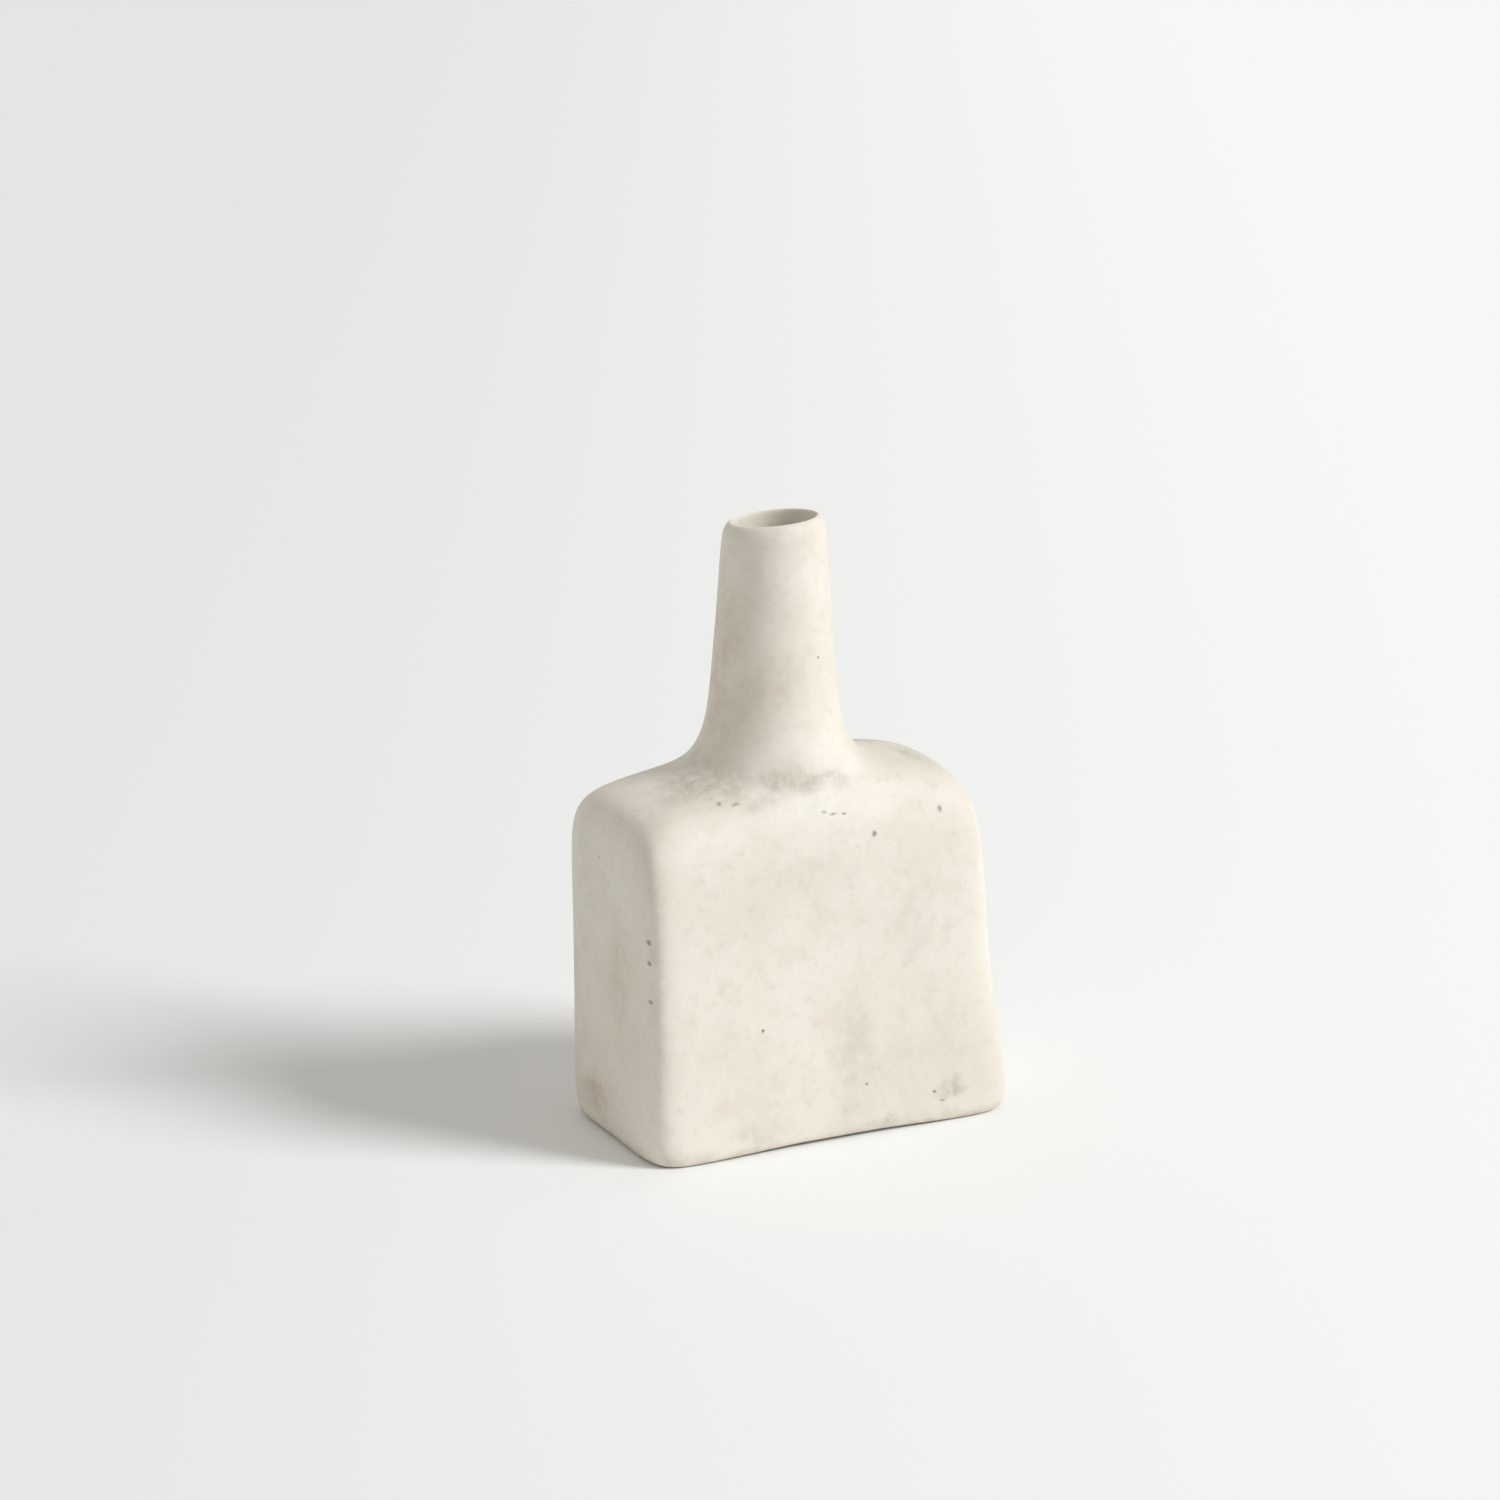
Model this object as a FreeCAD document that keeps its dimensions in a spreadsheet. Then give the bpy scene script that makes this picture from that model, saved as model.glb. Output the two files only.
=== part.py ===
"""Slab-built ceramic bud vase with a round neck.

Seven pieces of clay, luted together before firing, and the glaze that lines
them, which is laid on in three parts. The vase stands on z = 0 with its long
side along X, its front faces -Y, and the origin is under the middle of its box.
"""

import FreeCAD
import Part
import Sketcher
import math
import os

V = FreeCAD.Vector

# Driving sizes in millimetres: name, value, meaning.
SIZES = (
    ("overall_height", 204.5, "table to the top of the lip"),
    ("foot_left", 67.6, "origin to the left end wall at the table"),
    ("foot_right", 67.6, "origin to the right end wall at the table"),
    ("foot_half_depth", 33.7, "origin to the front wall at the table"),
    ("waist_height", 50.0, "table to the middle of the walls"),
    ("waist_left", 66.7, "origin to the left end wall at the waist"),
    ("waist_right", 59.4, "origin to the right end wall at the waist"),
    ("waist_half_depth", 33.5, "origin to the front wall at the waist"),
    ("eave_height", 101.0, "table to the seam between walls and shoulder"),
    ("eave_left", 67.4, "origin to the left end wall at the seam"),
    ("eave_right", 55.6, "origin to the right end wall at the seam"),
    ("eave_half_depth", 32.0, "origin to the front wall at the seam"),
    ("corner_radius", 11.0, "outside corners of the walls, seen from above"),
    ("face_bow", 1.6, "how far the corners stand out past the long walls"),
    ("end_bow", 0.4, "how far the corners stand out past the end walls"),
    ("foot_bevel", 2.6, "bevel where the walls meet the table"),
    ("wall", 5.0, "thickness of the wall and shoulder slabs"),
    ("floor", 6.5, "top of the floor above the table"),
    ("foot_recess", 0.8, "hollow under the floor slab"),
    ("shoulder_rise", 26.0, "how long the shoulder climbs before it turns in"),
    ("shoulder_dome", 9.0, "how far the shoulder fills out into an oval"),
    ("neck_sweep", 13.0, "height over which the shoulder sweeps into the neck"),
    ("neck_flare", 0.5, "run over rise at the neck seam, towards the ends"),
    ("flank_flare", 0.15, "run over rise at the neck seam, front and back"),
    ("neck_left", 7.0, "neck axis to the left of the origin"),
    ("shoulder_height", 29.0, "wall seam to the seam of shoulder and neck"),
    ("neck_seam_radius", 25.4, "outside of the neck at that seam"),
    ("flare_height", 19.0, "neck seam to the end of the neck's flare"),
    ("neck_mid_radius", 20.8, "outside of the neck there"),
    ("neck_taper", 0.1, "run over rise of the neck there"),
    ("mouth_radius", 16.7, "outside of the neck at the lip"),
    ("lip_wall", 3.0, "thickness of the neck at the lip"),
    ("lip_flat", 0.6, "flat left between the two roundings of the lip"),
    ("bore_length", 24.0, "lip to the end of the straight bore"),
    ("glaze", 0.6, "thickness of the lining"),
    ("glaze_gap", 2.0, "end of the straight bore to the top of the lining"),
)

# Where along its curve each section of the shoulder lies.
SHOULDER_STATIONS = (0.0, 0.2, 0.38, 0.54, 0.7, 0.85, 1.0)

# The round end of the shoulder is drawn as four near-equal pairs of arcs, so that
# its arcs match those of the square end: shares of the neck's radius.
ROUND_CORNER = 0.97
ROUND_BOW = -0.005

doc = FreeCAD.newDocument("bud_vase")
sheet = doc.addObject("Spreadsheet::Sheet", "Sizes")
for row, (name, value, meaning) in enumerate(SIZES, start=1):
    sheet.set(f"A{row}", name)
    sheet.set(f"B{row}", str(value))
    sheet.set(f"C{row}", meaning)
    sheet.setAlias(f"B{row}", name)
doc.recompute()


def size(expression):
    """Value of an expression on the sheet's names."""
    return float(sheet.evalExpression(expression))


def cell(name):
    """A driving size, as expressions write it."""
    return f"Sizes.{name}"


NECK_SEAM = f"({cell('eave_height')} + {cell('shoulder_height')})"
FLARE_TOP = f"({NECK_SEAM} + {cell('flare_height')})"
BORE = f"({cell('mouth_radius')} - {cell('lip_wall')})"
BORE_END = f"({cell('overall_height')} - {cell('bore_length')})"
THROAT = f"({cell('neck_seam_radius')} - {cell('wall')})"


def origin_plane(body, role):
    return next(plane for plane in body.Origin.OriginFeatures if plane.Role == role)


def attach(sketch, body, role):
    sketch.AttachmentSupport = [(origin_plane(body, role), "")]
    sketch.MapMode = "FlatFace"


def new_body(name):
    return doc.addObject("PartDesign::Body", name)


# ---------------------------------------------------------------- sections

# Each section is eight tangent arcs: four sides, which may be hollow or full,
# and four corners. Five expressions set it, and two more set its place.


def side_curvature(reach, corner_x, corner_y, radius):
    """Curvature of the arc through (0, -reach) that meets a corner smoothly."""
    gap = reach - corner_y
    return 2 * (gap - radius) / (corner_x ** 2 + gap ** 2 - radius ** 2)


def arc_between(centre, start, end):
    """Arc about centre from start to end, anticlockwise, and its radius."""
    first = math.atan2(start.y - centre.y, start.x - centre.x)
    last = math.atan2(end.y - centre.y, end.x - centre.x)
    if last < first:
        last += 2 * math.pi
    circle = Part.Circle(centre, V(0, 0, 1), (start - centre).Length)
    return Part.ArcOfCircle(circle, first, last)


def section_arcs(width, depth, corner_x, corner_y, radius):
    """The eight arcs from the front one round, and which of them are hollow."""
    front_bend = side_curvature(depth, corner_x, corner_y, radius)
    end_bend = side_curvature(width, corner_y, corner_x, radius)
    front = V(0, 1 / front_bend - depth, 0)
    end = V(width - 1 / end_bend, 0, 0)
    corner = V(corner_x, -corner_y, 0)
    low = front + (corner - front).normalize() * abs(1 / front_bend)
    high = end + (corner - end).normalize() * abs(1 / end_bend)
    quarter = ((front, V(-low.x, low.y, 0), low, front_bend), (corner, low, high, 1.0),
               (end, high, V(high.x, -high.y, 0), end_bend), (V(corner.x, -corner.y, 0),
               V(high.x, -high.y, 0), V(low.x, -low.y, 0), 1.0))
    arcs, hollow = [], []
    for turn in (1, -1):
        for centre, start, end_point, bend in quarter:
            points = [start * turn, end_point * turn]
            if bend < 0:
                points.reverse()
            arcs.append(arc_between(centre * turn, *points))
            hollow.append(bend < 0)
    return arcs, hollow


def section(body, name, shape, centre_x, height):
    """A section sketch whose width, depth, corner centre and radius are bound."""
    sketch = body.newObject("Sketcher::SketchObject", name)
    attach(sketch, body, "XY_Plane")
    sketch.setExpression("AttachmentOffset.Base.x", centre_x)
    sketch.setExpression("AttachmentOffset.Base.z", height)
    width, depth, corner_x, corner_y, radius = (size(value) for value in shape)
    arcs, hollow = section_arcs(width, depth, corner_x, corner_y, radius)
    sketch.addGeometry(arcs, False)
    reaches = (V(0, -depth, 0), V(width, 0, 0), V(0, depth, 0), V(-width, 0, 0))
    sketch.addGeometry([Part.Point(reach) for reach in reaches], True)
    ends = [(2, 1) if bent_in else (1, 2) for bent_in in hollow]
    rules = []
    for this in range(8):
        after = (this + 1) % 8
        rules.append(Sketcher.Constraint("Tangent", this, ends[this][1], after, ends[after][0]))
    for side, axis in ((0, -2), (2, -1), (4, -2), (6, -1)):
        rules.append(Sketcher.Constraint("PointOnObject", side, 3, axis))
    for point, side, axis in ((8, 0, -2), (9, 2, -1), (10, 4, -2), (11, 6, -1)):
        rules.append(Sketcher.Constraint("PointOnObject", point, 1, axis))
        rules.append(Sketcher.Constraint("PointOnObject", point, 1, side))
    rules += [Sketcher.Constraint("Equal", 0, 4), Sketcher.Constraint("Equal", 2, 6)]
    rules += [Sketcher.Constraint("Equal", 1, corner) for corner in (3, 5, 7)]
    sketch.addConstraint(rules)
    wide, deep, corner_wide, corner_deep, round_corner = shape
    bound = (("DistanceX", -1, 1, 9, 1, width, wide), ("DistanceX", 11, 1, -1, 1, width, wide),
             ("DistanceY", 8, 1, -1, 1, depth, deep), ("DistanceY", -1, 1, 10, 1, depth, deep),
             ("DistanceX", -1, 1, 1, 3, corner_x, corner_wide),
             ("DistanceY", 1, 3, -1, 1, corner_y, corner_deep),
             ("Radius", 1, radius, round_corner))
    for *rule, expression in bound:
        index = sketch.addConstraint(Sketcher.Constraint(*rule))
        sketch.setExpression(f"Constraints[{index}]", expression)
    return sketch


def wall_section(body, level, height, inset):
    """Section of the walls at a named level, drawn inset from the outside."""
    left, right = cell(f"{level}_left"), cell(f"{level}_right")
    width = f"({left} + {right}) / 2 - {inset}"
    depth = f"{cell(level + '_half_depth')} - {inset}"
    radius = f"{cell('corner_radius')} - {inset}"
    shape = (width, depth, f"{width} + {cell('end_bow')} - ({radius})",
             f"{depth} + {cell('face_bow')} - ({radius})", radius)
    return section(body, f"{body.Name}_{level}", shape, f"({right} - {left}) / 2", height)


def along(share, start, start_pull, end_pull, end):
    """Expression for a place on a four-point curve."""
    rest = 1 - share
    weights = (rest ** 3, 3 * share * rest ** 2, 3 * rest * share ** 2, share ** 3)
    terms = zip(weights, (start, start_pull, end_pull, end))
    return " + ".join(f"{weight:.6f} * ({term})" for weight, term in terms)


def shoulder_section(body, share, inset):
    """Section of the shoulder a share of the way from the eave to the neck."""
    eave, top, sweep = cell("eave_height"), NECK_SEAM, cell("neck_sweep")
    left, right = cell("eave_left"), cell("eave_right")
    width = f"({left} + {right}) / 2 - {inset}"
    depth = f"{cell('eave_half_depth')} - {inset}"
    neck = f"{cell('neck_seam_radius')} - {inset}"
    flared = f"{neck} + {cell('neck_flare')} * {sweep}"
    flanked = f"{neck} + {cell('flank_flare')} * {sweep}"
    turned = share ** 2 * (3 - 2 * share)
    swell = 4 * turned * (1 - turned)
    reach_x = along(share, width, width, flared, neck)
    reach_y = along(share, depth, depth, flanked, neck)
    corner = f"({cell('corner_radius')} - {inset}) * {1 - turned:.6f}"
    radius = f"{corner} + ({neck}) * {ROUND_CORNER * turned:.6f}"
    room = f"(1 - ({radius}) / ({reach_y}))"
    round_bow = f"({neck}) * {ROUND_BOW * turned:.6f} - {cell('shoulder_dome')} * {swell:.6f} * {room}"
    end_bow = f"{cell('end_bow')} * {1 - turned:.6f} + {round_bow}"
    face_bow = f"{cell('face_bow')} * {1 - turned:.6f} + {round_bow}"
    shape = (reach_x, reach_y, f"{reach_x} + {end_bow} - ({radius})",
             f"{reach_y} + {face_bow} - ({radius})", radius)
    lift = f"{eave} + {cell('shoulder_rise')} - {inset}"
    height = along(share, eave, lift, f"{top} - {sweep} - {inset}", top)
    middle = f"({right} - {left}) / 2"
    centre = along(share, middle, middle, f"-{cell('neck_left')}", f"-{cell('neck_left')}")
    return section(body, f"{body.Name}_{round(100 * share)}", shape, centre, height)


def loft(body, sections):
    feature = body.newObject("PartDesign::AdditiveLoft", f"{body.Name}_loft")
    feature.Profile = sections[0]
    feature.Sections = sections[1:]
    doc.recompute()
    return feature


def wall_mass(name, inset, bevel="0"):
    """The walls' outline as one block, from the table up to the eave."""
    body = new_body(name)
    levels = (("foot", bevel), ("waist", cell("waist_height")), ("eave", cell("eave_height")))
    sections = [wall_section(body, level, height, inset) for level, height in levels]
    loft(body, sections)
    if bevel != "0":
        sole = wall_section(body, "foot", "0", bevel)
        loft(body, [sections[0], sole])
    return body


def shoulder_mass(name, inset):
    body = new_body(name)
    loft(body, [shoulder_section(body, share, inset) for share in SHOULDER_STATIONS])
    return body


# ----------------------------------------------------------- drawing helpers


def pin_point(sketch, edge, end, across, up):
    """Binds one end of an edge to two expressions measured from the origin."""
    for kind, expression in (("DistanceX", across), ("DistanceY", up)):
        value = size(expression)
        if value < 0:
            rule = Sketcher.Constraint(kind, edge, end, -1, 1, -value)
            expression = f"-({expression})"
        else:
            rule = Sketcher.Constraint(kind, -1, 1, edge, end, value)
        index = sketch.addConstraint(rule)
        sketch.setExpression(f"Constraints[{index}]", expression)


def chain_ends(sketch, count):
    for edge in range(count):
        sketch.addConstraint(Sketcher.Constraint("Coincident", edge, 2, (edge + 1) % count, 1))


def polygon(body, name, role, corners):
    """A closed outline of straight lines between bound corners."""
    sketch = body.newObject("Sketcher::SketchObject", name)
    attach(sketch, body, role)
    points = [V(size(across), size(up), 0) for across, up in corners]
    lines = [Part.LineSegment(start, end) for start, end in zip(points, points[1:] + points[:1])]
    sketch.addGeometry(lines, False)
    chain_ends(sketch, len(lines))
    for edge, (across, up) in enumerate(corners):
        pin_point(sketch, edge, 1, across, up)
    return sketch


def boolean(kind, name, base, tool):
    """A Part cut or common of two objects."""
    feature = doc.addObject(f"Part::{kind}", name)
    feature.Base, feature.Tool = base, tool
    return feature


def slab_box(name, bottom, top):
    """A block wider than the vase between two heights."""
    block = doc.addObject("Part::Box", name)
    block.setExpression("Length", f"2 * ({cell('foot_left')} + {cell('foot_right')})")
    block.setExpression("Width", f"4 * {cell('foot_half_depth')}")
    block.setExpression("Height", f"{top} - ({bottom})")
    block.setExpression("Placement.Base.x", f"-{cell('foot_left')} - {cell('foot_right')}")
    block.setExpression("Placement.Base.y", f"-2 * {cell('foot_half_depth')}")
    block.setExpression("Placement.Base.z", bottom)
    return block


# -------------------------------------------------------------------- walls


def mitre_mass(name, side):
    """Block that holds one long wall, ending on the planes through the corners."""
    body = new_body(name)
    outlines = []
    spare = cell("wall")
    for level in ("foot", "waist", "eave"):
        depth = f"{cell(level + '_half_depth')} + {cell('face_bow')}"
        left = f"{cell(level + '_left')} + {cell('end_bow')}"
        right = f"{cell(level + '_right')} + {cell('end_bow')}"
        far = f"{side} * ({depth} + {spare})"
        corners = ((f"-({left} + {spare})", far), (f"{right} + {spare}", far),
                   (f"{right} - ({depth})", "0"), (f"{depth} - ({left})", "0"))
        outline = polygon(body, f"{name}_{level}", "XY_Plane", corners)
        height = "0" if level == "foot" else cell(f"{level}_height")
        outline.setExpression("AttachmentOffset.Base.z", height)
        outlines.append(outline)
    loft(body, outlines).Ruled = True
    return body


def make_walls(inside):
    """Four wall slabs, mitred at the corners."""
    outside = wall_mass("outside", "0", cell("foot_bevel"))
    ring = boolean("Cut", "wall_ring", outside, inside)
    front = mitre_mass("front_mitre", -1)
    back = mitre_mass("back_mitre", 1)
    doc.recompute()
    ends = boolean("Cut", "end_walls", boolean("Cut", "ring_less_front", ring, front), back)
    left_half = slab_box("left_half", "0", cell("eave_height"))
    left_half.setExpression("Length", f"{cell('foot_left')} + {cell('foot_right')}")
    doc.recompute()
    return (boolean("Common", "front_wall", ring, front), boolean("Common", "back_wall", ring, back),
            boolean("Common", "left_end_wall", ends, left_half),
            boolean("Cut", "right_end_wall", ends, left_half))


def make_floor(inside):
    """Floor slab let in between the walls, a little clear of the table."""
    layer = slab_box("floor_layer", cell("foot_recess"), cell("floor"))
    return boolean("Common", "floor_slab", inside, layer)


# --------------------------------------------------------------------- neck


def tangent_arc(start, heading, end):
    """Arc that leaves start along heading, and the order of its ends."""
    left = V(-heading.y, heading.x, 0)
    chord = end - start
    reach = chord.Length ** 2 / (2 * chord.dot(left) / heading.Length)
    centre = start + left.normalize() * reach
    if reach < 0:
        return arc_between(centre, end, start), (2, 1)
    return arc_between(centre, start, end), (1, 2)


def revolved(name, sketch):
    """Turns a profile round the axis of the neck."""
    body = sketch.getParentGeoFeatureGroup()
    feature = body.newObject("PartDesign::Revolution", f"{name}_revolution")
    feature.Profile = sketch
    feature.ReferenceAxis = (origin_plane(body, "Z_Axis"), [""])
    feature.Angle = 360
    body.setExpression("Placement.Base.x", f"-{cell('neck_left')}")
    doc.recompute()
    return feature


def neck_profile(body):
    """Half section of the neck: flare, taper, lip, straight bore, wider throat."""
    sketch = body.newObject("Sketcher::SketchObject", "neck_profile")
    attach(sketch, body, "XZ_Plane")
    top = cell("overall_height")
    corners = ((cell("neck_seam_radius"), NECK_SEAM), (cell("neck_mid_radius"), FLARE_TOP),
               (cell("mouth_radius"), top), (BORE, top), (BORE, BORE_END), (THROAT, NECK_SEAM))
    seam, middle, lip, bore_top, bore_end, throat = (V(size(r), size(z), 0) for r, z in corners)
    rise = 10
    climb = V(-rise * size(cell("neck_taper")), rise, 0)
    lower, lower_ends = tangent_arc(middle, climb * -1, seam)
    upper, upper_ends = tangent_arc(middle, climb, lip)
    sketch.addGeometry([lower, upper, Part.LineSegment(lip, bore_top), Part.LineSegment(bore_top, bore_end),
                        Part.LineSegment(bore_end, throat), Part.LineSegment(throat, seam)], False)
    sketch.addGeometry([Part.LineSegment(middle, middle + climb)], True)
    joints = ((1, upper_ends[1], 2, 1), (2, 2, 3, 1), (3, 2, 4, 1), (4, 2, 5, 1), (5, 2, 0, lower_ends[1]))
    rules = [Sketcher.Constraint("Coincident", *joint) for joint in joints]
    rules.append(Sketcher.Constraint("Tangent", 0, lower_ends[0], 1, upper_ends[0]))
    rules.append(Sketcher.Constraint("Tangent", 1, upper_ends[0], 6, 1))
    sketch.addConstraint(rules)
    starts = ((0, lower_ends[1]), (0, lower_ends[0]), (2, 1), (3, 1), (4, 1), (5, 1))
    for (edge, end), (radius, height) in zip(starts, corners):
        pin_point(sketch, edge, end, radius, height)
    pin_point(sketch, 6, 2, f"{cell('neck_mid_radius')} - {rise} * {cell('neck_taper')}",
              f"{FLARE_TOP} + {rise}")
    return sketch


def make_neck():
    """Tapering neck with a rounded lip, a straight bore and a flared root."""
    body = new_body("neck")
    turned = revolved("neck", neck_profile(body))
    height = size(cell("overall_height"))
    rims = [f"Edge{number}" for number, edge in enumerate(turned.Shape.Edges, start=1)
            if edge.BoundBox.ZMin > height - 1e-6]
    lip = body.newObject("PartDesign::Fillet", "lip")
    lip.Base = (turned, rims)
    lip.setExpression("Radius", f"({cell('lip_wall')} - {cell('lip_flat')}) / 2")
    return body


# ------------------------------------------------------------------- lining


def make_lining(inside, shoulder_hollow):
    """Thin glaze over the floor, walls, shoulder and throat."""
    coat = f"({cell('wall')} + {cell('glaze')})"
    floor, eave = cell("floor"), cell("eave_height")
    tank = boolean("Common", "tank", inside, slab_box("tank_layer", floor, eave))
    water = boolean("Common", "water", wall_mass("water_walls", coat),
                    slab_box("water_layer", f"{floor} + {cell('glaze')}", eave))
    basin = boolean("Cut", "basin_glaze", tank, water)
    dome = boolean("Cut", "dome_glaze", shoulder_hollow, shoulder_mass("water_dome", coat))
    gap, glaze = cell("glaze_gap"), cell("glaze")
    stop = f"{BORE_END} - {gap}"
    stop_radius = f"{BORE} + ({THROAT} - {BORE}) * {gap} / ({BORE_END} - {NECK_SEAM})"
    throat = new_body("throat_glaze")
    corners = ((THROAT, NECK_SEAM), (stop_radius, stop), (f"{stop_radius} - {glaze}", stop),
               (f"{THROAT} - {glaze}", NECK_SEAM))
    revolved("throat_glaze", polygon(throat, "throat_profile", "XZ_Plane", corners))
    lining = doc.addObject("Part::Compound", "liner_glaze")
    lining.Links = [basin, dome, throat]
    return lining


# ------------------------------------------------------------------ assembly


def check_objects():
    """Stops if anything in the document failed to build."""
    for item in doc.Objects:
        if "Invalid" in item.State or "Error" in item.State:
            raise RuntimeError(f"{item.Name} failed: {item.State}")


def export(piece):
    """Writes one sub-part under its label."""
    if piece.Shape.isNull() or not piece.Shape.isValid() or piece.Shape.Volume <= 0:
        raise RuntimeError(f"{piece.Name} has no sound shape")
    piece.Label = piece.Name
    piece.Shape.exportStep(f"parts/{piece.Label}.step")


def main():
    inside = wall_mass("inside", cell("wall"))
    hollow = shoulder_mass("dome_inside", cell("wall"))
    shoulder = boolean("Cut", "shoulder_slab", shoulder_mass("dome_outside", "0"), hollow)
    pieces = [make_floor(inside), *make_walls(inside), shoulder, make_neck(), make_lining(inside, hollow)]
    doc.recompute()
    check_objects()
    os.makedirs("parts", exist_ok=True)
    for piece in pieces:
        export(piece)


main()
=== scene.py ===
"""A slab-built ceramic bud vase, shown on a pale sweep in soft light."""

import math

import bmesh
import bpy
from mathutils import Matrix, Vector


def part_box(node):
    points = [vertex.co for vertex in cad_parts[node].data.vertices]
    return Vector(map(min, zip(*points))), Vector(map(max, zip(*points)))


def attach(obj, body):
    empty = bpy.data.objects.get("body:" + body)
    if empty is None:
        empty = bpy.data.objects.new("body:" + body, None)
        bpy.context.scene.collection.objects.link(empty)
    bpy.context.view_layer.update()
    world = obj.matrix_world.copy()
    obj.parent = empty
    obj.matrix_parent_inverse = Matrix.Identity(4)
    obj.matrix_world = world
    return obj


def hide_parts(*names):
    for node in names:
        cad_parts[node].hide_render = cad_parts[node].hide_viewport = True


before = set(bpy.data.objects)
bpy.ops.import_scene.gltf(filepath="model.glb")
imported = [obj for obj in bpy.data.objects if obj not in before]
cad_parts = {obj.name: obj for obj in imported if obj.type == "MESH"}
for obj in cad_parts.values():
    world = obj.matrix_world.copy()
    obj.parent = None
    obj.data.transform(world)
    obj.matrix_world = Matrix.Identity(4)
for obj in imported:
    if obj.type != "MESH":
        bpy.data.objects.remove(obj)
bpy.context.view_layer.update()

MM = 0.001

# ------------------------------------------------------------------ sizes

# Heights and places that the frame gives, in metres.
NECK_LOW, NECK_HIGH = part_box("neck")
NECK_SEAM, LIP = NECK_LOW.z, NECK_HIGH.z
NECK_X = (NECK_LOW.x + NECK_HIGH.x) / 2
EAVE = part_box("front_wall")[1].z
FLOOR_LOW, FLOOR_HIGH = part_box("floor_slab")

WALL = 5.0 * MM
GLAZE = 0.6 * MM

# Each level of the outside, from the table up, in millimetres: height, left reach,
# right reach, half depth, corner radius and hollow of the long sides; the last is
# how round the level is, from 0 for square to 1 for a full ellipse.
BODY_LEVELS = (
    (0.0, -62.8, 62.0, 31.8, 11.0, 1.4, 0.0),
    (0.5, -64.9, 64.1, 33.2, 11.8, 1.4, 0.0),
    (2.6, -66.3, 66.0, 33.8, 12.0, 1.4, 0.0),
    (7.0, -66.9, 66.2, 33.7, 11.0, 1.4, 0.0),
    (16.0, -66.9, 64.7, 33.6, 10.0, 1.4, 0.0),
    (32.0, -66.5, 61.6, 33.5, 9.4, 1.4, 0.0),
    (52.0, -66.5, 58.8, 33.4, 9.0, 1.3, 0.0),
    (72.0, -66.8, 57.3, 33.3, 8.6, 1.0, 0.0),
    (88.0, -67.2, 55.9, 33.2, 8.2, 0.6, 0.0),
    (98.0, -67.6, 55.2, 32.9, 8.2, 0.2, 0.0),
)
SHOULDER_LEVELS = (
    (105.0, -67.4, 54.3, 32.0, 9.0, -0.4, 0.0),
    (110.5, -65.8, 53.0, 30.4, 10.5, -1.6, 0.0),
    (114.5, -61.8, 51.0, 28.6, 12.0, -3.6, 0.0),
    (117.5, -53.5, 47.6, 27.2, 14.0, -5.2, 0.1),
    (119.8, -44.2, 33.8, 26.2, 16.0, -5.2, 0.3),
    (122.2, -37.6, 23.2, 25.6, 18.0, -3.0, 0.6),
    (125.4, -34.0, 20.6, 25.6, 20.0, -1.0, 0.9),
)
# Round levels in millimetres: height and radius, up the outside and down the bore.
NECK_LEVELS = (
    (130.0, 24.2),
    (136.0, 22.3),
    (144.0, 21.0),
    (156.0, 20.0),
    (172.0, 18.6),
    (188.0, 17.7),
    (196.0, 17.1),
    (199.8, 16.6),
    (202.0, 15.7),
)
LIP_LEVELS = (
    (203.1, 14.3),
    (202.9, 13.7),
    (202.1, 13.4),
    (200.4, 13.25),
    (194.0, 13.4),
    (178.0, 13.7),
    (160.0, 15.0),
    (144.0, 16.8),
    (135.0, 18.3),
)

# The inner face in millimetres: how far its shoulder lies under the outer one, its
# least corner radius and the height of its foot. The glaze ends at its own height.
INNER_DROP = 4.6
INNER_CORNER = 4.0
INNER_FOOT = 0.4
GLAZE_TOP = 178.0

# The middle of each long foot edge is lifted this far, which fades out to its ends.
FOOT_ARCH = 1.15 * MM
FOOT_EDGE = 3 * MM
ARCH_CROWN = 5 * MM
ARCH_REACH = 60 * MM

# The mouth was cut a little off level, and the upper neck follows it.
LIP_TILT_RIGHT = math.radians(3.0)
LIP_TILT_FRONT = math.radians(4.1)
LIP_TILT_START = 150.0 * MM

RING = 24
QUADRANT = RING // 4
# The ring is a smooth curve's control cage, so a round one is drawn a little large,
# and the cage point of a corner lies this share of the corner's radius out.
ROUND_GROWTH = 3 / (2 + math.cos(2 * math.pi / RING))
CORNER_CAGE = 0.81
CORNER_LIMIT = 0.98

# Unevenness left by hands and the kiln.
HAND_DEPTH = 0.5 * MM
HAND_SPREAD = 42 * MM

# Floor slab outline: height from its lower face, or from its upper one, and inset
# from the walls, in millimetres. The slab's edges are eased.
FLOOR_UNDERSIDE = ((0.0, 3.0), (0.0, 0.6), (0.6, 0.1))
FLOOR_TOPSIDE = ((-1.2, 0.1), (0.0, 1.0), (0.0, 4.0))

# The lining in millimetres: how far it lies off the floor, how much its foot is drawn
# in from the walls, and how far up it meets the first level of the walls.
LINING_LIFT = 0.1
LINING_ROUNDING = 0.4
LINING_CLEARANCE = 4.0

# A vertex closer than this to a cut, in metres, counts as lying on it.
CUT_TOLERANCE = 1e-7


# ---------------------------------------------------------------- helpers


def deselect_all():
    if bpy.context.object and bpy.context.object.mode != "OBJECT":
        bpy.ops.object.mode_set(mode="OBJECT")
    bpy.ops.object.select_all(action="DESELECT")


def pick(piece):
    """Makes one object the only selected and active one."""
    deselect_all()
    bpy.context.view_layer.objects.active = piece
    piece.select_set(True)


def apply_modifiers(piece):
    pick(piece)
    for modifier in list(piece.modifiers):
        bpy.ops.object.modifier_apply(modifier=modifier.name)


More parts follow.
